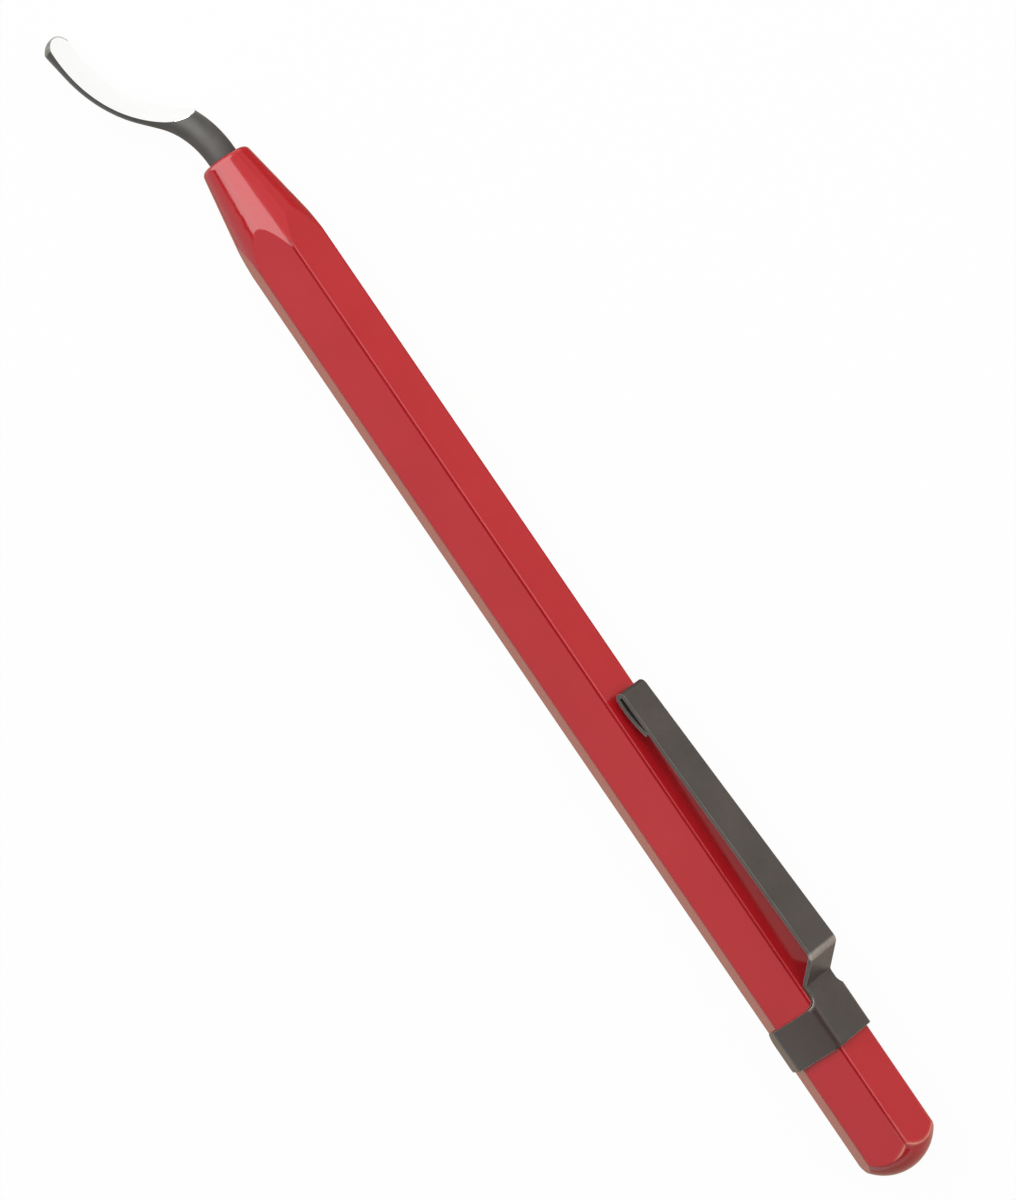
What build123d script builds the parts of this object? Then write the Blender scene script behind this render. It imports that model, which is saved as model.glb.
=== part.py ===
from build123d import *
import os
from math import asin, cos, degrees, radians, sin, tan

# Pen deburring tool: a painted hexagonal bar with a swivelling S-blade in its nose and a
# spring clip on its back end. Millimetres. +X points along the bar to the blade and +Z is up.
# The pieces are drawn with the bar's lowest flat at z = 0 and its middle over the origin. At
# the end the whole tool is set down with its box centred on the origin and its foot at z = 0.

# ---- driving dimensions ------------------------------------------------------------------

# handle bar
handle_length = 124.5
across_flats = 8.1  # 8 mm hexagonal bar and its coat of paint
bar_edge_radius = 0.45
nose_front_radius = 2.69
nose_half_angle = 9.3
nose_rim_radius = 0.7
nose_barrel = 0.02  # how far the cone swells in its middle
dome_flare = 0.45  # the rear dome's radius is this much larger than the bar's corner circle

# blade
shank_diameter = 3.2
shank_inside = 27.9  # from the front of the nose to the shank's tail
tail_chamfer = 0.5
groove_from_tail = 4.5
groove_width = 0.8
groove_depth = 0.4
straight_out = 0.32  # from the front of the nose to the first bend
first_bend_radius = 10.06
first_bend_angle = 45.4
middle_run = 2.48
second_bend_radius = 14.34
second_bend_angle = 35.25
tip_run = 3.92
tip_bluntness = 0.27  # the tip's ball is this much larger in radius than the shank
blade_rest_roll = 15.2  # the hook hangs this far below level, its tip on the table
wheel_bite = 0.12  # the grinding wheel's radius is this much less than the second bend's
wheel_lean_back = 12.2  # lean of the grinding wheel's axle towards the handle
wheel_lean_out = 5.8  # lean of the axle towards the outside of the hook

# parts inside the nose
running_clearance = 0.05  # radial, shank in sleeve
sleeve_wall = 0.35
sleeve_recess = 0.3
sleeve_lead_in = 0.15
ring_wire = 0.5
ring_engagement = 0.2  # how far the ring reaches into the shank's groove
ring_side_play = 0.1
ring_gap_angle = 40
ball_diameter = 3.0
ball_bore_clearance = 0.15
tail_to_ball = 0.05
drill_point_angle = 118

# pocket clip, bent from one piece of sheet
sheet = 0.45
clip_clearance = 0.04
band_width = 4.8
band_from_rear = 14.8
band_opening = 101.6  # angle left open behind the clip, seen from the bar's axis
lip_front_radius = 1.6  # corners of the band's two ends
lip_back_radius = 0.4
neck_run = 2.15
neck_fillet = 1.15
bend_radius = 0.7  # at the middle of the sheet
riser_angle = 55
strip_rise = 3.45  # middle of the neck to middle of the strip, at the riser
strip_slope = 2.93
strip_length = 32.05
strip_rear_width = 4.15
strip_front_width = 3.45
hairpin_radius = 0.48
loop_angle = 6.0  # how far the return leg opens away from the strip
loop_length = 4.35
loop_end_gap = 0.08

# ---- frame and places worked out from the sizes ------------------------------------------

apothem = across_flats / 2
corner_circle = apothem / cos(radians(30))
nose_x = handle_length / 2
rear_x = -handle_length / 2
bar_axis = Axis((0, 0, apothem), (1, 0, 0))
lengthwise = Plane(origin=(0, 0, apothem), x_dir=(1, 0, 0), z_dir=(0, -1, 0))


def across(x):
    """Plane square to the bar at x, with its origin on the bar's axis."""
    return Plane(origin=(x, 0, apothem), x_dir=(0, 1, 0), z_dir=(1, 0, 0))


shank_radius = shank_diameter / 2
tail_x = nose_x - shank_inside
groove_x = tail_x + groove_from_tail
sleeve_inner_radius = shank_radius + running_clearance
socket_radius = sleeve_inner_radius + sleeve_wall
sleeve_front_x = nose_x - sleeve_recess
sleeve_back_x = groove_x + ring_wire / 2 + ring_side_play
socket_end_x = groove_x - ring_wire / 2 - ring_side_play
ring_radius = shank_radius - ring_engagement + ring_wire / 2

ball_radius = ball_diameter / 2
ball_x = tail_x - tail_to_ball - ball_radius
ball_bore_radius = ball_radius + ball_bore_clearance
drill_half_angle = radians(drill_point_angle / 2)
drill_apex_x = ball_x - ball_radius / sin(drill_half_angle)
drill_cone_x = drill_apex_x + ball_bore_radius / tan(drill_half_angle)

# ---- handle: hexagonal bar, turned to a cone in front and to a dome behind ----------------

turning_radius = corner_circle + 0.1
dome_radius = corner_circle + dome_flare
cone_x = nose_x - (turning_radius - nose_front_radius) / tan(radians(nose_half_angle))

with BuildPart() as handle:
    with BuildSketch(across(rear_x)) as bar_section:
        RegularPolygon(radius=apothem, side_count=6, major_radius=False)
        fillet(bar_section.vertices(), radius=bar_edge_radius)
    extrude(amount=handle_length)

    with BuildSketch(lengthwise) as turned_profile:
        with BuildLine():
            dome = CenterArc(
                center=(rear_x + dome_radius, 0),
                radius=dome_radius,
                start_angle=180,
                arc_size=-degrees(asin(turning_radius / dome_radius)),
            )
            Line(dome @ 1, (cone_x, turning_radius))
            Bezier(
                (cone_x, turning_radius),
                ((cone_x + nose_x) / 2, (turning_radius + nose_front_radius) / 2 + 2 * nose_barrel),
                (nose_x, nose_front_radius),
            )
            Polyline((nose_x, nose_front_radius), (nose_x, 0), dome @ 0)
        make_face()
        rim = turned_profile.vertices().sort_by(Axis.X)[-2:].sort_by(Axis.Y)[-1]
        fillet(rim, radius=nose_rim_radius)
    revolve(axis=bar_axis, mode=Mode.INTERSECT)

    with BuildSketch(lengthwise):
        with BuildLine():
            Polyline(
                (nose_x, 0),
                (nose_x, socket_radius),
                (socket_end_x, socket_radius),
                (socket_end_x, ball_bore_radius),
                (drill_cone_x, ball_bore_radius),
                (drill_apex_x, 0),
                (nose_x, 0),
            )
        make_face()
    revolve(axis=bar_axis, mode=Mode.SUBTRACT)
handle.part.label = "handle"

# ---- bearing sleeve, pressed into the nose ------------------------------------------------

with BuildPart() as bearing_sleeve:
    with BuildSketch(lengthwise):
        with BuildLine():
            Polyline(
                (sleeve_back_x, sleeve_inner_radius),
                (sleeve_front_x - sleeve_lead_in, sleeve_inner_radius),
                (sleeve_front_x, sleeve_inner_radius + sleeve_lead_in),
                (sleeve_front_x, socket_radius),
                (sleeve_back_x, socket_radius),
                close=True,
            )
        make_face()
    revolve(axis=bar_axis)
bearing_sleeve.part.label = "bearing_sleeve"

# ---- retaining ring: split spring wire that snaps into the shank's groove ------------------

with BuildPart() as retaining_ring:
    with BuildSketch(lengthwise):
        with Locations((groove_x, ring_radius)):
            Circle(ring_wire / 2)
    revolve(axis=bar_axis, revolution_arc=360 - ring_gap_angle)
retaining_ring.part.label = "retaining_ring"

# ---- thrust ball at the bottom of the bore -------------------------------------------------

with BuildPart() as thrust_ball:
    with Locations((ball_x, 0, apothem)):
        Sphere(ball_radius)
thrust_ball.part.label = "thrust_ball"

# ---- blade: round steel bent to an S, its inner half ground away along the hook ------------

roll = radians(blade_rest_roll)
tip_radius = shank_radius + tip_bluntness
hook_plane = Plane(origin=(nose_x, 0, apothem), x_dir=(1, 0, 0), z_dir=(0, sin(roll), cos(roll)))

with BuildPart() as blade:
    with BuildLine(hook_plane) as blade_path:
        shank = Line((-shank_inside, 0), (straight_out, 0))
        first_bend = JernArc(
            start=shank @ 1,
            tangent=shank % 1,
            radius=first_bend_radius,
            arc_size=first_bend_angle,
        )
        middle = Line(first_bend @ 1, first_bend @ 1 + (first_bend % 1) * middle_run)
        second_bend = JernArc(
            start=middle @ 1,
            tangent=middle % 1,
            radius=second_bend_radius,
            arc_size=-second_bend_angle,
        )
        Line(second_bend @ 1, second_bend @ 1 + (second_bend % 1) * tip_run)
    with BuildSketch(across(tail_x)):
        Circle(shank_radius)
    sweep(path=blade_path.line)

    chamfer(blade.edges().sort_by(Axis.X)[0], length=tail_chamfer)

    with BuildSketch(lengthwise):
        with Locations((groove_x, shank_radius)):
            Rectangle(groove_width, 2 * groove_depth)
    revolve(axis=bar_axis, mode=Mode.SUBTRACT)

    # the grinding wheel turns about the middle of the second bend and takes off half the wire
    wheel_axle = (
        hook_plane.z_dir
        - hook_plane.x_dir * tan(radians(wheel_lean_back))
        + hook_plane.y_dir * tan(radians(wheel_lean_out))
    )
    with BuildSketch(Plane(origin=second_bend.arc_center, z_dir=wheel_axle)):
        Circle(second_bend_radius - wheel_bite)
    extrude(amount=2 * shank_diameter, both=True, mode=Mode.SUBTRACT)

    # the tip is rounded to a ball, of which the flat has left half
    along_tip = blade_path.line % 1
    tip_middle = (blade_path.line @ 1) - along_tip * tip_radius
    with BuildSketch(Plane(origin=tip_middle, x_dir=along_tip, z_dir=hook_plane.z_dir)):
        Rectangle(2 * tip_radius, 2 * tip_radius, align=(Align.MIN, Align.MIN))
        Circle(tip_radius, mode=Mode.SUBTRACT)
    revolve(axis=Axis(tip_middle, along_tip), mode=Mode.SUBTRACT)
blade.part.label = "blade"

# ---- pocket clip: a band round the bar, a neck, a riser and a strip that ends in a loop ----
#
# The bent side view is cut to the outline of the flat blank. Its planes stand on the bar's
# axis, with their second direction (or their normal) out through the face that carries it.

clip_normal = Vector(0, -sin(radians(60)), cos(radians(60)))
side_view = Plane(origin=(0, 0, apothem), x_dir=(1, 0, 0), z_dir=Vector(1, 0, 0).cross(clip_normal))
blank_view = Plane(origin=(0, 0, apothem), x_dir=(1, 0, 0), z_dir=clip_normal)
band_back_x = rear_x + band_from_rear
band_front_x = band_back_x + band_width
band_inner = apothem + clip_clearance
band_outer = band_inner + sheet
band_corner = band_outer / cos(radians(30))
inner_bend = bar_edge_radius + clip_clearance
neck_width = 2 * (band_outer - inner_bend - sheet) * tan(radians(30))  # flat part of the face


def band_section(x):
    """Plane square to the bar at x, turned so that its second direction leaves the clip's face."""
    return Plane(origin=(x, 0, apothem), x_dir=clip_normal.cross(Vector(1, 0, 0)), z_dir=(1, 0, 0))


def hexagonal_tube():
    """The band's ring, all the way round, in the sketch that is open."""
    with BuildSketch(mode=Mode.PRIVATE) as outside:
        RegularPolygon(radius=band_outer, side_count=6, major_radius=False)
        fillet(outside.vertices(), radius=inner_bend + sheet)
    with BuildSketch(mode=Mode.PRIVATE) as inside:
        RegularPolygon(radius=band_inner, side_count=6, major_radius=False)
        fillet(inside.vertices(), radius=inner_bend)
    add(outside.sketch - inside.sketch)


neck_height = band_inner + sheet / 2
strip_height = neck_height + strip_rise
riser_foot_x = band_front_x + neck_run
riser_top_x = riser_foot_x + strip_rise / tan(radians(riser_angle))
slope = radians(strip_slope)
strip_end_x = riser_top_x + strip_length * cos(slope)
strip_end_height = strip_height - strip_length * sin(slope)
blank_end_x = strip_end_x + 2 * hairpin_radius + sheet

with BuildPart() as pocket_clip:
    # strip, riser and neck, drawn from the side
    with BuildSketch(side_view):
        with BuildLine():
            bends = FilletPolyline(
                (band_front_x, neck_height),
                (riser_foot_x, neck_height),
                (riser_top_x, strip_height),
                (strip_end_x, strip_end_height),
                radius=bend_radius,
            )
            hairpin = JernArc(
                start=bends @ 1,
                tangent=bends % 1,
                radius=hairpin_radius,
                arc_size=-(180 - loop_angle),
            )
            back_along = (bends % 1) * -loop_length
            down_to_leg = (bends % 1).rotate(Axis.Z, -90) * (sheet + loop_end_gap)
            TangentArc(hairpin @ 1, (bends @ 1) + back_along + down_to_leg, tangent=hairpin % 1)
        trace(line_width=sheet)
    extrude(amount=neck_width / 2, both=True)

    # the corners that the neck still takes from the band, before they are cut to the outline
    with BuildSketch(band_section(band_front_x)):
        hexagonal_tube()
        with Locations((0, neck_height)):
            Rectangle(2 * band_corner, neck_height, mode=Mode.INTERSECT)
    extrude(amount=neck_fillet)

    with BuildSketch(blank_view) as blank:
        with BuildLine():
            Polyline(
                (band_front_x, neck_width / 2),
                (riser_top_x, strip_rear_width / 2),
                (blank_end_x, strip_front_width / 2),
                (blank_end_x, -strip_front_width / 2),
                (riser_top_x, -strip_rear_width / 2),
                (band_front_x, -neck_width / 2),
                close=True,
            )
        make_face()
        with Locations(((band_back_x + band_front_x) / 2, 0)):
            Rectangle(band_width, 2 * band_corner)
        along_front = blank.vertices().filter_by_position(Axis.X, band_front_x, band_front_x)
        fillet(along_front.sort_by(Axis.Y)[1:3], radius=neck_fillet)
    extrude(amount=2 * strip_height, both=True, mode=Mode.INTERSECT)

    # the band grips five faces and is open behind the clip
    half_opening = tan(radians(band_opening / 2)) * 2 * band_corner
    with BuildSketch(band_section(band_back_x)):
        hexagonal_tube()
        with BuildLine():
            Polyline(
                (0, 0),
                (half_opening, -2 * band_corner),
                (-half_opening, -2 * band_corner),
                close=True,
            )
        make_face(mode=Mode.SUBTRACT)
    extrude(amount=band_width)
    away_from_clip = Axis((0, 0, apothem), -clip_normal)
    for end_x, lip_radius in ((band_back_x, lip_back_radius), (band_front_x, lip_front_radius)):
        end_edges = pocket_clip.edges().filter_by_position(Axis.X, end_x, end_x)
        fillet(end_edges.sort_by(away_from_clip)[-2:], radius=lip_radius)
pocket_clip.part.label = "pocket_clip"

# ---- set down on the table and saved --------------------------------------------------------

pieces = (handle, bearing_sleeve, retaining_ring, thrust_ball, blade, pocket_clip)
foremost_x = blade.part.bounding_box().max.X
leftmost_y = blade.part.bounding_box().max.Y
clip_box = pocket_clip.part.bounding_box()
set_down = Location((-(rear_x + foremost_x) / 2, -(clip_box.min.Y + leftmost_y) / 2, -clip_box.min.Z))

os.makedirs("parts", exist_ok=True)
for piece in pieces:
    placed = set_down * piece.part
    placed.label = piece.part.label
    export_step(placed, f"parts/{placed.label}.step")
    print(placed.label, round(placed.volume, 2), placed.bounding_box())
print("set down by", set_down.position)
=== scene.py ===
import math

import bpy
from mathutils import Matrix, Vector


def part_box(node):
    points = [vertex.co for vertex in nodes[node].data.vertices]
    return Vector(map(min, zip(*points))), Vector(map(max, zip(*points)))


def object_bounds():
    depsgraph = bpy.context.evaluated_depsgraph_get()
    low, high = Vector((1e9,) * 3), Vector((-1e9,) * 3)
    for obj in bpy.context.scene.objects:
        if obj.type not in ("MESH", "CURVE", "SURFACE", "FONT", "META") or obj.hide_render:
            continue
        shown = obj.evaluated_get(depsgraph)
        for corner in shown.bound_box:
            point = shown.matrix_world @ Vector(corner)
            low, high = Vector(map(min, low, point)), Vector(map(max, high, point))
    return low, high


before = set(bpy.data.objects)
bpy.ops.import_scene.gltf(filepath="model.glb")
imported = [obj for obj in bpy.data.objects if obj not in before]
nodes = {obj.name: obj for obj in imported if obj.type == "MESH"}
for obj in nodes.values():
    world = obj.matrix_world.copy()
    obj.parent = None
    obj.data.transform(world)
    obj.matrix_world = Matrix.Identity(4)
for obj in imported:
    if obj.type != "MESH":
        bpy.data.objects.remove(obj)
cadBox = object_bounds()
barLow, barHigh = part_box("handle")
barMiddle = (barLow + barHigh) / 2  # on the handle's axis, halfway along it
alongBar = Vector((1, 0, 0))  # towards the blade
plainWhite = (1, 1, 1, 1)
print("frame loaded:", ", ".join(sorted(nodes)))


# colours are written as they look on a screen, 0 to 255; lengths are in metres, angles in degrees
def colour(red, green, blue):
    def linear(value):
        share = value / 255
        return share / 12.92 if share <= 0.04045 else ((share + 0.055) / 1.055) ** 2.4

    return (linear(red), linear(green), linear(blue), 1.0)


# short ways to add nodes: each takes a link or a plain value and gives back the result's socket
mixSockets = {"FLOAT": (2, 3, 0), "VECTOR": (4, 5, 1), "RGBA": (6, 7, 2)}  # under, over, result
measures = ("LENGTH", "DOT_PRODUCT")  # vector sums that end in one number


def feed(tree, socket, value):
    if isinstance(value, bpy.types.NodeSocket):
        tree.links.new(value, socket)
    else:
        socket.default_value = value


def addNode(tree, kind, inputs=None, **settings):
    node = tree.nodes.new(kind)
    for name, value in settings.items():
        setattr(node, name, value)
    for name, value in (inputs or {}).items():
        feed(tree, node.inputs[name], value)
    return node


def addMath(tree, operation, first, second=None, **settings):
    node = addNode(tree, "ShaderNodeMath", {0: first}, operation=operation, **settings)
    if second is not None:
        feed(tree, node.inputs[1], second)
    return node.outputs[0]


def addVectorMath(tree, operation, first, second=None):
    node = addNode(tree, "ShaderNodeVectorMath", {0: first}, operation=operation)
    if second is not None:
        feed(tree, node.inputs[1], second)
    return node.outputs["Value" if operation in measures else "Vector"]


def addRange(tree, value, start, end, low=0.0, high=1.0, **settings):
    # low where the value is at the start, high where it is at the end
    spread = {"Value": value, "From Min": start, "From Max": end, "To Min": low, "To Max": high}
    return addNode(tree, "ShaderNodeMapRange", spread, **settings).outputs["Result"]


def addMix(tree, kind, share, under, over):
    underSocket, overSocket, result = mixSockets[kind]
    inputs = {0: share, underSocket: under, overSocket: over}
    return addNode(tree, "ShaderNodeMix", inputs, data_type=kind).outputs[result]


def addPlace(tree):
    return addNode(tree, "ShaderNodeTexCoord").outputs["Object"]


def addBump(tree, height, strength, depth, normal=None):
    node = addNode(tree, "ShaderNodeBump", {"Height": height, "Strength": strength, "Distance": depth})
    if normal is not None:
        feed(tree, node.inputs["Normal"], normal)
    return node.outputs["Normal"]


def useGroup(tree, group, inputs):
    return addNode(tree, "ShaderNodeGroup", inputs, node_tree=group).outputs


def newMaterial(name):
    material = bpy.data.materials.new(name)
    material.use_nodes = True
    tree = material.node_tree
    tree.nodes.clear()
    shader = addNode(tree, "ShaderNodeBsdfPrincipled")
    addNode(tree, "ShaderNodeOutputMaterial", {"Surface": shader.outputs["BSDF"]})
    return material, tree, shader


def newGroup(name, inputs, outputs):
    # every input and output of these groups is one number
    group = bpy.data.node_groups.new(name, "ShaderNodeTree")
    for label, value in inputs.items():
        socket = group.interface.new_socket(label, in_out="INPUT", socket_type="NodeSocketFloat")
        socket.default_value = value
    for label in outputs:
        group.interface.new_socket(label, in_out="OUTPUT", socket_type="NodeSocketFloat")
    return group, group.nodes.new("NodeGroupInput").outputs, group.nodes.new("NodeGroupOutput").inputs


def dress(name, material):
    node = nodes[name]
    node.data.materials.clear()
    node.data.materials.append(material)


# camera: over the tool, tilted towards the clip
cameraSetup = {
    "distance": 0.510,
    "tiltFromAbove": 19.4,  # towards the side with the clip
    "turn": 34.318,  # how far the handle leans over in the frame
    "alongHandle": 0.00875,  # how far in front of the handle's middle it looks
    "acrossHandle": -0.00141,
    "frameHeight": 0.122449,  # at the distance of the handle
    "sensor": 36.0,
    "nearest": 0.01,
    "farthest": 20,
}


def makeCamera(setup):
    tilt, turn = math.radians(setup["tiltFromAbove"]), math.radians(setup["turn"])
    back = Vector((0, -math.sin(tilt), math.cos(tilt)))
    side = alongBar.cross(back)
    up = alongBar * math.cos(turn) + side * math.sin(turn)
    right = up.cross(back)
    target = barMiddle + alongBar * setup["alongHandle"] + side * setup["acrossHandle"]
    data = bpy.data.cameras.new("camera")
    data.sensor_width = setup["sensor"]
    data.lens = setup["sensor"] * setup["distance"] / setup["frameHeight"]
    data.clip_start, data.clip_end = setup["nearest"], setup["farthest"]
    camera = bpy.data.objects.new("camera", data)
    place = Matrix((right, up, back)).transposed().to_4x4()
    place.translation = target + back * setup["distance"]
    camera.matrix_world = place
    bpy.context.scene.collection.objects.link(camera)
    bpy.context.scene.camera = camera
    return target


lookAt = makeCamera(cameraSetup)
print("camera placed")

# studio: the floor and the light all round
studio = {
    "floorSize": 8.0,
    "floorDrop": 0.0002,  # under the lowest point of the tool
    "floorColour": colour(244, 244, 243),
    "floorWhite": 0.97,  # share of plain white in what the camera sees
    "floorMirrored": 0.8,  # the same share in what paint and metal mirror
    "worldFill": 0.16,
    "shadeDrop": 0.0001,  # the shades lie between the floor and the tool
}

# plain light on the object: each lamp's power, size, direction and distance
lamps = {
    "front": {"watts": 5.3, "size": (0.62, 1.05), "toward": (0.57, -0.10, 0.81), "distance": 0.75},
    "side": {"watts": 2.5, "size": (0.6, 0.6), "toward": (-0.15, -0.83, 0.53), "distance": 0.9},
}

# what glossy paint and metal mirror: the front lamp's white cloth, its wing in a black frame, the
# dark room round the camera and behind the tool, and the low edge of the table's white surround
cards = {
    "softbox": {
        "glow": 4.6, "size": (1.06, 0.86), "toward": (0.74, -0.118, 0.66), "distance": 0.74
    },
    "softboxWing": {
        "glow": 4.6, "size": (1.06, 0.42), "toward": (0.688, 0.495, 0.531), "distance": 0.92
    },
    "softboxFrame": {
        "glow": 0.0, "size": (1.12, 0.66), "toward": (0.688, 0.495, 0.531), "distance": 0.93
    },
    "room": {
        "glow": 0.04, "size": (0.62, 0.30), "toward": (-0.02, -0.36, 0.93), "distance": 0.62
    },
    "lowRoom": {
        "glow": 1.6, "size": (0.20, 0.34), "toward": (-0.02, -0.95, 0.31), "distance": 0.62
    },
    "backRoom": {
        "glow": 0.06, "size": (0.26, 0.60), "toward": (-0.96, 0.18, 0.24), "distance": 0.62
    },
    "tableEdge": {
        "glow": 0.08, "size": (0.03, 1.6), "toward": (0.0, -0.9994, 0.035), "distance": 0.55
    },
}

# warm shade on the floor, which the flats, the flanks of the nose and the clip mirror
shades = {
    "beside": {"tint": colour(205, 184, 165), "size": (0.170, 0.022), "middle": (-0.027, 0.006)},
    "under": {"tint": colour(132, 114, 104), "size": (0.072, 0.012), "middle": (0.022, -0.011)},
    "behind": {"tint": colour(216, 198, 184), "size": (0.102, 0.012), "middle": (-0.065, -0.011)},
    "farther": {"tint": colour(232, 216, 209), "size": (0.260, 0.075), "middle": (-0.040, -0.0545)},
}


def seenDirectly(tree, byCamera=1.0, byMirror=1.0):
    # one share where the camera looks, another in a reflection or through glass, 0 for plain light
    path = addNode(tree, "ShaderNodeLightPath").outputs
    mirrored = addMath(tree, "MAXIMUM", path["Is Glossy Ray"], path["Is Transmission Ray"])
    fainter = addMath(tree, "MULTIPLY", mirrored, byMirror)
    camera = addMath(tree, "MULTIPLY", path["Is Camera Ray"], byCamera)
    return addMath(tree, "MAXIMUM", camera, fainter)


def makeSheet(name, length, width, height=0.0):
    # one flat rectangle about its own middle
    high, wide = length / 2, width / 2
    corners = [(-high, -wide), (high, -wide), (high, wide), (-high, wide)]
    mesh = bpy.data.meshes.new(name)
    mesh.from_pydata([(x, y, height) for x, y in corners], [], [(0, 1, 2, 3)])
    sheet = bpy.data.objects.new(name, mesh)
    bpy.context.scene.collection.objects.link(sheet)
    material = bpy.data.materials.new(name)
    material.use_nodes = True
    material.node_tree.nodes.clear()
    mesh.materials.append(material)
    return sheet, material.node_tree


def makeFloor(setup):
    floor, tree = makeSheet(
        "floor", setup["floorSize"], setup["floorSize"], cadBox[0].z - setup["floorDrop"]
    )
    plain = addNode(tree, "ShaderNodeBsdfDiffuse", {"Color": setup["floorColour"]})
    white = addNode(tree, "ShaderNodeEmission", {"Color": plainWhite, "Strength": 1.0})
    share = seenDirectly(tree, setup["floorWhite"], setup["floorMirrored"])
    blend = addNode(tree, "ShaderNodeMixShader", {0: share, 1: plain.outputs[0], 2: white.outputs[0]})
    addNode(tree, "ShaderNodeOutputMaterial", {"Surface": blend.outputs[0]})


def makeWorld(setup):
    world = bpy.data.worlds.new("studio")
    bpy.context.scene.world = world
    world.use_nodes = True
    tree = world.node_tree
    tree.nodes.clear()
    fill = addNode(tree, "ShaderNodeBackground", {"Color": plainWhite, "Strength": setup["worldFill"]})
    white = addNode(tree, "ShaderNodeBackground", {"Color": plainWhite, "Strength": 1.0})
    share = seenDirectly(tree)
    blend = addNode(tree, "ShaderNodeMixShader", {0: share, 1: fill.outputs[0], 2: white.outputs[0]})
    addNode(tree, "ShaderNodeOutputWorld", {"Surface": blend.outputs[0]})


def pointAt(thing, toward, distance):
    away = Vector(toward).normalized()
    thing.location = lookAt + away * distance
    thing.rotation_mode = "QUATERNION"
    thing.rotation_quaternion = away.to_track_quat("Z", "X")


def makeLamp(name, setup):
    data = bpy.data.lights.new(name, "AREA")
    data.shape = "RECTANGLE"
    data.energy = setup["watts"]
    data.size, data.size_y = setup["size"]
    lamp = bpy.data.objects.new(name, data)
    pointAt(lamp, setup["toward"], setup["distance"])
    lamp.visible_glossy = False  # its cloth is the softbox card
    bpy.context.scene.collection.objects.link(lamp)


def makeCard(name, size, tint, glow=1.0):
    # seen in reflections only, so it neither lights nor shades the object
    card, tree = makeSheet(name, *size)
    card.visible_camera = False
    card.visible_diffuse = False
    card.visible_shadow = False
    card.visible_transmission = False
    light = addNode(tree, "ShaderNodeEmission", {"Color": tint, "Strength": glow})
    addNode(tree, "ShaderNodeOutputMaterial", {"Surface": light.outputs[0]})
    return card


makeFloor(studio)
makeWorld(studio)
for lampName, setup in lamps.items():
    makeLamp(lampName, setup)
for cardName, setup in cards.items():
    card = makeCard(cardName, setup["size"], plainWhite, setup["glow"])
    pointAt(card, setup["toward"], setup["distance"])
for shadeName, setup in shades.items():
    shade = makeCard(shadeName, setup["size"], setup["tint"])
    shade.location = (*setup["middle"], cadBox[0].z - studio["shadeDrop"])
bpy.context.scene.view_settings.view_transform = "Standard"
print("studio lit")

# effects that more than one finish uses
effects = {
    "edgeStarts": 0.998,  # cosine between the rounded and the plain normal where an edge begins
    "edgeFull": 0.93,  # and where it is fully worn
    "edgeBreaks": (0.3, 0.6),  # span of the noise that breaks an edge up
    "edgeLeast": 0.55,  # wear that is left where it is broken up most
    "edgeDetail": 3.0,
    "grainSpan": (0.25, 0.75),
    "grainDetail": 4.0,
    "grainRoughness": 0.6,
    "mottleSpan": (0.3, 0.7),
    "mottleDetail": 5.0,
    "mottleRoughness": 0.55,
    "roundingSamples": 8,
}


def roundedNormal(tree, radius):
    samples = effects["roundingSamples"]
    return addNode(tree, "ShaderNodeBevel", {"Radius": radius}, samples=samples).outputs["Normal"]


def makeEdgeWear(values):
    # mask of the edges, broken up by noise
    inputs = {"Width": 0.0003, "Break Up": 900.0, "Amount": 1.0}
    group, given, result = newGroup("edgeWear", inputs, ["Mask"])
    plain = addNode(group, "ShaderNodeNewGeometry").outputs["Normal"]
    alike = addVectorMath(group, "DOT_PRODUCT", roundedNormal(group, given["Width"]), plain)
    edge = addRange(group, alike, values["edgeStarts"], values["edgeFull"])
    speckle = {"Vector": addPlace(group), "Scale": given["Break Up"], "Detail": values["edgeDetail"]}
    noise = addNode(group, "ShaderNodeTexNoise", speckle).outputs["Fac"]
    breaks = addRange(group, noise, *values["edgeBreaks"], low=values["edgeLeast"])
    broken = addMath(group, "MULTIPLY", edge, breaks)
    feed(group, result["Mask"], addMath(group, "MULTIPLY", broken, given["Amount"], use_clamp=True))
    return group


def makeGrain(values):
    # fine marks drawn out along the handle, for rolled and ground metal
    inputs = {"Fineness": 9000.0, "Draw": 0.03, "Low": 0.0, "High": 1.0}
    group, given, result = newGroup("drawnGrain", inputs, ["Height", "Value"])
    apart = addNode(group, "ShaderNodeSeparateXYZ", {0: addPlace(group)}).outputs
    drawn = addMath(group, "MULTIPLY", apart["X"], given["Draw"])
    together = {"X": drawn, "Y": apart["Y"], "Z": apart["Z"]}
    marks = {
        "Vector": addNode(group, "ShaderNodeCombineXYZ", together).outputs[0],
        "Scale": given["Fineness"],
        "Detail": values["grainDetail"],
        "Roughness": values["grainRoughness"],
    }
    noise = addNode(group, "ShaderNodeTexNoise", marks).outputs["Fac"]
    feed(group, result["Height"], noise)
    spread = addRange(group, noise, *values["grainSpan"], low=given["Low"], high=given["High"])
    feed(group, result["Value"], spread)
    return group


def makeMottle(values):
    # slow uneven patches, for handling marks and paint that lies a little unevenly
    inputs = {"Size": 120.0, "Low": 0.0, "High": 1.0}
    group, given, result = newGroup("mottle", inputs, ["Value"])
    patches = {
        "Vector": addPlace(group),
        "Scale": given["Size"],
        "Detail": values["mottleDetail"],
        "Roughness": values["mottleRoughness"],
    }
    noise = addNode(group, "ShaderNodeTexNoise", patches).outputs["Fac"]
    spread = addRange(group, noise, *values["mottleSpan"], low=given["Low"], high=given["High"])
    feed(group, result["Value"], spread)
    return group


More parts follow.
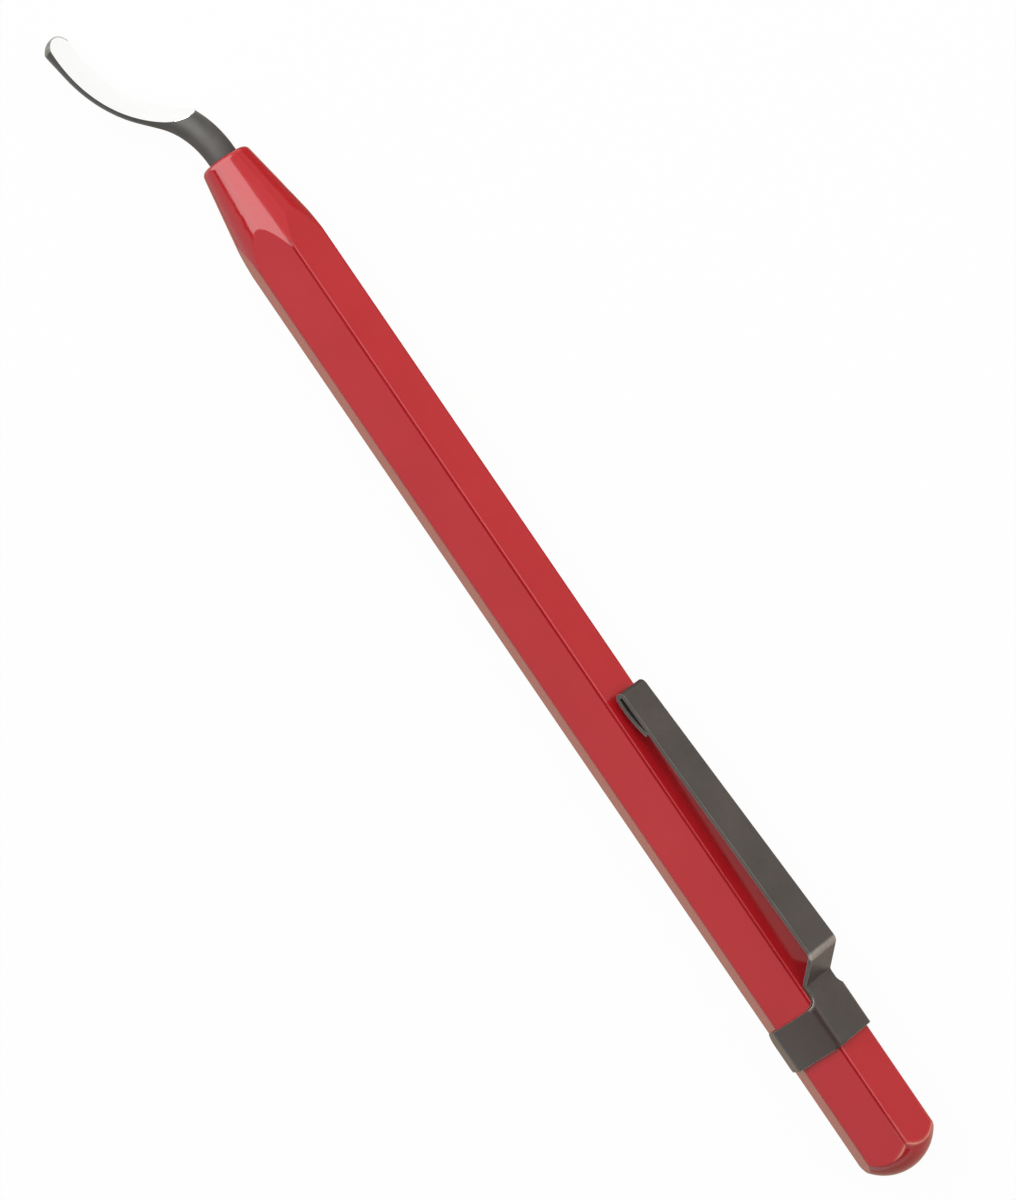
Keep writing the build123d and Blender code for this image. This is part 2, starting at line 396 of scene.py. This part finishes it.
edgeWear = makeEdgeWear(effects)
drawnGrain = makeGrain(effects)
mottle = makeMottle(effects)
print("shared effects made")

# handle: red paint on a steel bar
paint = {
    "deep": colour(189, 24, 33),
    "full": colour(195, 32, 40),
    "patchSize": 90.0,
    "roughLow": 0.10,
    "roughHigh": 0.16,
    "roughSize": 260.0,
    "peelScale": 1500.0,
    "peelDetail": 2.0,
    "peelDepth": 0.000002,
    "peelStrength": 0.6,
    # painted highlight on the back end's edges
    "paintedSheen": colour(250, 176, 152),
    "edgeWidth": 0.0006,
    "edgeAmount": 1.0,
    "sheenEnd": 0.0066,  # length of the back end whose edges carry the painted highlight on its clip side
    "sheenSide": 0.001,  # over which the painted highlight sets in, out from the handle's axis
    "coatRound": 0.00028,  # the wet coat drew back this far from the sharp corners
    # painted along the edge on the clip's side: a dark line of painted reflection, and a thin pale
    # painted highlight beside it
    "edgeHeight": 0.00389,  # over the handle's axis
    "edgeSoft": 0.00005,
    "darkReflectionLine": {
        "out": 0.00221, "half": 0.00009, "soft": 0.00006, "tint": colour(132, 6, 16), "amount": 0.5
    },
    "highlightLine": {
        "out": 0.00241, "half": 0.00002, "soft": 0.00005, "tint": colour(232, 128, 130), "amount": 0.22
    },
}


def addEdgeLine(tree, across, onEdge, line, under):
    # a line drawn along the handle at one distance out from its axis, over the colour below it
    off = addMath(tree, "SUBTRACT", across, barMiddle.y - line["out"])
    away = addMath(tree, "ABSOLUTE", off)
    near = addRange(tree, away, line["half"] + line["soft"], line["half"], high=line["amount"])
    share = addMath(tree, "MULTIPLY", near, onEdge)
    return addMix(tree, "RGBA", share, under, line["tint"])


def makePaint(values):
    material, tree, shader = newMaterial("redPaint")
    place = addPlace(tree)
    apart = addNode(tree, "ShaderNodeSeparateXYZ", {0: place}).outputs
    patches = useGroup(tree, mottle, {"Size": values["patchSize"]})["Value"]
    tone = addMix(tree, "RGBA", patches, values["deep"], values["full"])

    # painted highlight on the edges at the back end, on the clip's side
    wear = {"Width": values["edgeWidth"], "Amount": values["edgeAmount"]}
    edges = useGroup(tree, edgeWear, wear)["Mask"]
    sheenFrom, sheenTo = barLow.x + values["sheenEnd"], barLow.x + values["sheenEnd"] / 2
    atBack = addRange(tree, apart["X"], sheenFrom, sheenTo)
    atSide = addRange(tree, apart["Y"], barMiddle.y, barMiddle.y - values["sheenSide"])
    paintedSheen = addMath(tree, "MULTIPLY", atBack, atSide)
    sheenEdge = addMath(tree, "MULTIPLY", edges, paintedSheen)
    shown = addMix(tree, "RGBA", sheenEdge, tone, values["paintedSheen"])

    # the painted dark reflection and the painted highlight along the edge
    edgeTop = barMiddle.z + values["edgeHeight"]
    onEdge = addRange(tree, apart["Z"], edgeTop - values["edgeSoft"], edgeTop)
    for line in (values["darkReflectionLine"], values["highlightLine"]):
        shown = addEdgeLine(tree, apart["Y"], onEdge, line, shown)
    feed(tree, shader.inputs["Base Color"], shown)

    handled = {"Size": values["roughSize"], "Low": values["roughLow"], "High": values["roughHigh"]}
    feed(tree, shader.inputs["Roughness"], useGroup(tree, mottle, handled)["Value"])
    peelNoise = {"Vector": place, "Scale": values["peelScale"], "Detail": values["peelDetail"]}
    peel = addNode(tree, "ShaderNodeTexNoise", peelNoise).outputs["Fac"]
    softened = roundedNormal(tree, values["coatRound"])
    normal = addBump(tree, peel, values["peelStrength"], values["peelDepth"], softened)
    feed(tree, shader.inputs["Normal"], normal)
    return material


dress("handle", makePaint(paint))
print("handle painted")

# inside the nose: the sleeve and the ring
innerSteel = {
    "colour": colour(196, 197, 200),
    "roughLow": 0.22,
    "roughHigh": 0.36,
    "fineness": 14000.0,
    "markDepth": 0.000003,
}

# the ball under the blade
ballSteel = {
    "colour": colour(214, 215, 218),
    "roughLow": 0.06,
    "roughHigh": 0.12,
    "fineness": 5000.0,
    "markDepth": 0.000001,
}

# what the turned parts have in common
turning = {
    "markDraw": 1.0,
    "markStrength": 0.5,
    "patchSize": 700.0,
    "patchTone": 0.86,  # share of the colour that is left in the dark patches
}


def makeTurnedSteel(name, values):
    material, tree, shader = newMaterial(name)
    shader.inputs["Metallic"].default_value = 1.0
    patches = useGroup(tree, mottle, {"Size": turning["patchSize"]})["Value"]
    darker = tuple(turning["patchTone"] * c for c in values["colour"][:3]) + (1.0,)
    feed(tree, shader.inputs["Base Color"], addMix(tree, "RGBA", patches, darker, values["colour"]))
    grain = {
        "Fineness": values["fineness"],
        "Draw": turning["markDraw"],
        "Low": values["roughLow"],
        "High": values["roughHigh"],
    }
    marks = useGroup(tree, drawnGrain, grain)
    feed(tree, shader.inputs["Roughness"], marks["Value"])
    normal = addBump(tree, marks["Height"], turning["markStrength"], values["markDepth"])
    feed(tree, shader.inputs["Normal"], normal)
    return material


turnedSteel = makeTurnedSteel("turnedSteel", innerSteel)
for pieceName in ("bearing_sleeve", "retaining_ring"):
    dress(pieceName, turnedSteel)
dress("thrust_ball", makeTurnedSteel("polishedBall", ballSteel))
print("inner parts finished")

# blade: grey hardened steel, bright where it is ground
blade = {
    "greyLow": colour(68, 66, 63),
    "greyHigh": colour(84, 81, 78),
    "greyGloss": 0.3,
    "roughLow": 0.38,
    "roughHigh": 0.48,
    "patchSize": 400.0,
    "markFineness": 7000.0,
    "markDraw": 0.25,
    "markDepth": 0.000004,
    "markStrength": 0.5,
    "ground": colour(253, 253, 252),
    "groundRough": 0.08,
    "groundBand": 0.00003,  # how far off a grinding's own radius still counts as ground
    "ball": colour(126, 125, 117),
    "ballRough": 0.34,
    "ballBand": 0.00012,
    "ballFades": (-0.0014, -0.0002),  # across the tip's ball, from its inner to its outer side
    # the hook's bends, from the nose to the tip, as the blade is made
    "restRoll": 15.2,
    "straightOut": 0.00032,
    "firstRadius": 0.01006,
    "firstAngle": 45.4,
    "middleRun": 0.00248,
    "secondRadius": 0.01434,
    "secondAngle": 35.25,
    "tipRun": 0.00392,
    "tipRadius": 0.00187,
    # the wheel that ground the hook
    "wheelBite": 0.00012,
    "leanBack": 12.2,
    "leanOut": 5.8,
}


def hookPlaces(values):
    # the middle and the axle of the wheel that ground the hook, the middle of the tip's ball,
    # the way the tip points, and the way to its outer side
    nose = Vector((barHigh.x, barMiddle.y, barMiddle.z))
    roll = math.radians(values["restRoll"])
    outward = Vector((0, math.cos(roll), -math.sin(roll)))
    square = Vector((0, math.sin(roll), math.cos(roll)))
    turn = math.radians(values["firstAngle"])
    left = turn - math.radians(values["secondAngle"])  # angle of the tip to the handle
    first, second, run = values["firstRadius"], values["secondRadius"], values["middleRun"]
    x = values["straightOut"] + (first + second) * math.sin(turn) + run * math.cos(turn)
    y = first * (1 - math.cos(turn)) + run * math.sin(turn) - second * math.cos(turn)
    middle = nose + alongBar * x + outward * y
    leanBack, leanOut = math.radians(values["leanBack"]), math.radians(values["leanOut"])
    axle = square - alongBar * math.tan(leanBack) + outward * math.tan(leanOut)
    tipWay = alongBar * math.cos(left) + outward * math.sin(left)
    outerWay = outward * math.cos(left) - alongBar * math.sin(left)
    bendEnd = middle + outerWay * second
    ball = bendEnd + tipWay * (values["tipRun"] - values["tipRadius"])
    return middle, axle.normalized(), ball, tipWay, outerWay


def nearRadius(tree, length, radius, band):
    # 1 where a length is within a band of a radius
    off = addMath(tree, "ABSOLUTE", addMath(tree, "SUBTRACT", length, radius))
    return addMath(tree, "LESS_THAN", off, band)


def makeBladeSteel(values):
    material, tree, shader = newMaterial("bladeSteel")
    middle, axle, ball, tipWay, outerWay = hookPlaces(values)
    place = addPlace(tree)

    # the ground face is where the surface lies on the wheel: the distance from the wheel's axle
    fromMiddle = addVectorMath(tree, "SUBTRACT", place, middle)
    alongAxle = addVectorMath(tree, "PROJECT", fromMiddle, axle)
    flat = addVectorMath(tree, "SUBTRACT", fromMiddle, alongAxle)
    wheelRadius = addVectorMath(tree, "LENGTH", flat)
    wheelCut = values["secondRadius"] - values["wheelBite"]
    ground = nearRadius(tree, wheelRadius, wheelCut, values["groundBand"])

    # the tip's ball, on the front half and fading out to its inner side
    fromBall = addVectorMath(tree, "SUBTRACT", place, ball)
    ballRadius = addVectorMath(tree, "LENGTH", fromBall)
    ahead = addVectorMath(tree, "DOT_PRODUCT", fromBall, tipWay)
    outer = addVectorMath(tree, "DOT_PRODUCT", fromBall, outerWay)
    rim = nearRadius(tree, ballRadius, values["tipRadius"], values["ballBand"])
    onRim = addMath(tree, "MULTIPLY", rim, addMath(tree, "GREATER_THAN", ahead, 0.0))
    onBall = addMath(tree, "MULTIPLY", onRim, addRange(tree, outer, *values["ballFades"]))

    patches = useGroup(tree, mottle, {"Size": values["patchSize"]})["Value"]
    grey = addMix(tree, "RGBA", patches, values["greyLow"], values["greyHigh"])
    shown = addMix(tree, "RGBA", ground, grey, values["ground"])
    shown = addMix(tree, "RGBA", onBall, shown, values["ball"])
    feed(tree, shader.inputs["Base Color"], shown)
    feed(tree, shader.inputs["Metallic"], addMath(tree, "MAXIMUM", ground, onBall))
    shader.inputs["Specular IOR Level"].default_value = values["greyGloss"]

    grain = {
        "Fineness": values["markFineness"],
        "Draw": values["markDraw"],
        "Low": values["roughLow"],
        "High": values["roughHigh"],
    }
    marks = useGroup(tree, drawnGrain, grain)
    rough = addMix(tree, "FLOAT", ground, marks["Value"], values["groundRough"])
    rough = addMix(tree, "FLOAT", onBall, rough, values["ballRough"])
    feed(tree, shader.inputs["Roughness"], rough)
    normal = addBump(tree, marks["Height"], values["markStrength"], values["markDepth"])
    feed(tree, shader.inputs["Normal"], normal)
    return material


dress("blade", makeBladeSteel(blade))
print("blade finished")

# pocket clip: dark spring sheet with paler sheared edges
clip = {
    "dark": colour(60, 55, 51),
    "worn": colour(73, 67, 62),
    "patchSize": 220.0,
    "edge": colour(172, 162, 148),
    "edgeWidth": 0.00008,
    "edgeAmount": 0.7,
    "oxideIor": 1.58,
    "roughLow": 0.26,
    "roughHigh": 0.34,
    "grainFineness": 8000.0,
    "grainDraw": 0.05,
    "grainDepth": 0.0000015,
    "grainStrength": 0.5,
    "faceAngle": 60.0,  # the clip's face, turned about the handle from straight up
    # the upper bend, worn bare by cloth and painted lighter as a highlight
    "bareAndSheen": colour(204, 199, 192),
    "bendRadius": 0.000925,  # outside of the bend
    "bendMiddle": 29.0,  # middle of the bend, turned back from the strip
    "topBand": 0.00002,  # how far below the clip's highest line still counts as on it
    "sheenFrom": 0.00062,
    "sheenTo": 0.00022,
    "wearAndSheenAmount": 0.7,
    "unevenSize": 900.0,
    "unevenLeast": 0.55,
    # the band, darker from its upper corner on over the wide flat
    "shaded": colour(46, 27, 18),
    "shadedFar": 0.45,  # how much of it is left at the flat's far side
    "cornerOut": 0.00262,  # the corner, out from the handle's axis
    "cornerSoft": 0.0007,
    "cornerRound": 0.0006,
    "cornerReach": (0.0009, 0.0005),  # how far from the corner the rounding sets in and is full
    "cornerFacing": (0.7, 0.82),  # cosine to the corner's own way out, likewise
}


def bendPlace(values):
    # the middle of the upper bend's outside, as a point on the clip's own centre plane, and the
    # way out of the clip's face
    turn = math.radians(values["faceAngle"])
    outward = Vector((0, -math.sin(turn), math.cos(turn)))
    corners = [vertex.co for vertex in nodes["pocket_clip"].data.vertices]
    height = max((corner - barMiddle).dot(outward) for corner in corners)
    nearTop = height - values["topBand"]
    highest = [corner.x for corner in corners if (corner - barMiddle).dot(outward) > nearTop]
    back = math.radians(values["bendMiddle"])
    x = sum(highest) / len(highest) - values["bendRadius"] * math.sin(back)
    height -= values["bendRadius"] * (1 - math.cos(back))
    return Vector((x, barMiddle.y, barMiddle.z)) + outward * height, outward


def softCorner(tree, across, values):
    # the plain normal, drawn round at the band's upper corner
    own = addNode(tree, "ShaderNodeNewGeometry").outputs["Normal"]
    off = addMath(tree, "SUBTRACT", across, barMiddle.y - values["cornerOut"])
    atCorner = addRange(tree, addMath(tree, "ABSOLUTE", off), *values["cornerReach"])
    turn = math.radians(values["faceAngle"] / 2)
    cornerWay = (0, -math.sin(turn), math.cos(turn))
    facing = addVectorMath(tree, "DOT_PRODUCT", own, cornerWay)
    onFace = addRange(tree, facing, *values["cornerFacing"])
    share = addMath(tree, "MULTIPLY", atCorner, onFace)
    return addMix(tree, "VECTOR", share, own, roundedNormal(tree, values["cornerRound"]))


def makeClipSteel(values):
    material, tree, shader = newMaterial("clipSteel")
    place = addPlace(tree)
    across = addNode(tree, "ShaderNodeSeparateXYZ", {0: place}).outputs["Y"]
    patches = useGroup(tree, mottle, {"Size": values["patchSize"]})["Value"]
    tone = addMix(tree, "RGBA", patches, values["dark"], values["worn"])

    # dusk over the band's wide flat, from its upper corner on
    cornerAt, soft = barMiddle.y - values["cornerOut"], values["cornerSoft"]
    over = addRange(tree, across, cornerAt - soft / 2, cornerAt + soft / 4)
    farSide = barMiddle.y + values["cornerOut"]
    fade = addRange(tree, across, cornerAt, farSide, low=1.0, high=values["shadedFar"])
    dusk = addMath(tree, "MULTIPLY", over, fade)
    shown = addMix(tree, "RGBA", dusk, tone, values["shaded"])

    wear = {"Width": values["edgeWidth"], "Amount": values["edgeAmount"]}
    edges = useGroup(tree, edgeWear, wear)["Mask"]
    shown = addMix(tree, "RGBA", edges, shown, values["edge"])

    # how near a point is to the upper bend's line across the sheet
    bend, outward = bendPlace(values)
    acrossSheet = outward.cross(alongBar)
    fromBend = addVectorMath(tree, "SUBTRACT", place, bend)
    sideways = addVectorMath(tree, "PROJECT", fromBend, acrossSheet)
    distance = addVectorMath(tree, "LENGTH", addVectorMath(tree, "SUBTRACT", fromBend, sideways))
    paintedSheen = addRange(
        tree,
        distance,
        values["sheenFrom"],
        values["sheenTo"],
        high=values["wearAndSheenAmount"],
        interpolation_type="SMOOTHSTEP",
    )
    unevenly = {"Size": values["unevenSize"], "Low": values["unevenLeast"], "High": 1.0}
    # worn bare at the bend, with a painted highlight over it
    worn = addMath(tree, "MULTIPLY", paintedSheen, useGroup(tree, mottle, unevenly)["Value"])
    shown = addMix(tree, "RGBA", worn, shown, values["bareAndSheen"])
    feed(tree, shader.inputs["Base Color"], shown)
    feed(tree, shader.inputs["Metallic"], addMath(tree, "MAXIMUM", worn, edges))
    shader.inputs["IOR"].default_value = values["oxideIor"]

    grain = {
        "Fineness": values["grainFineness"],
        "Draw": values["grainDraw"],
        "Low": values["roughLow"],
        "High": values["roughHigh"],
    }
    marks = useGroup(tree, drawnGrain, grain)
    feed(tree, shader.inputs["Roughness"], marks["Value"])
    softened = softCorner(tree, across, values)
    normal = addBump(tree, marks["Height"], values["grainStrength"], values["grainDepth"], softened)
    feed(tree, shader.inputs["Normal"], normal)
    return material


dress("pocket_clip", makeClipSteel(clip))
print("clip finished")
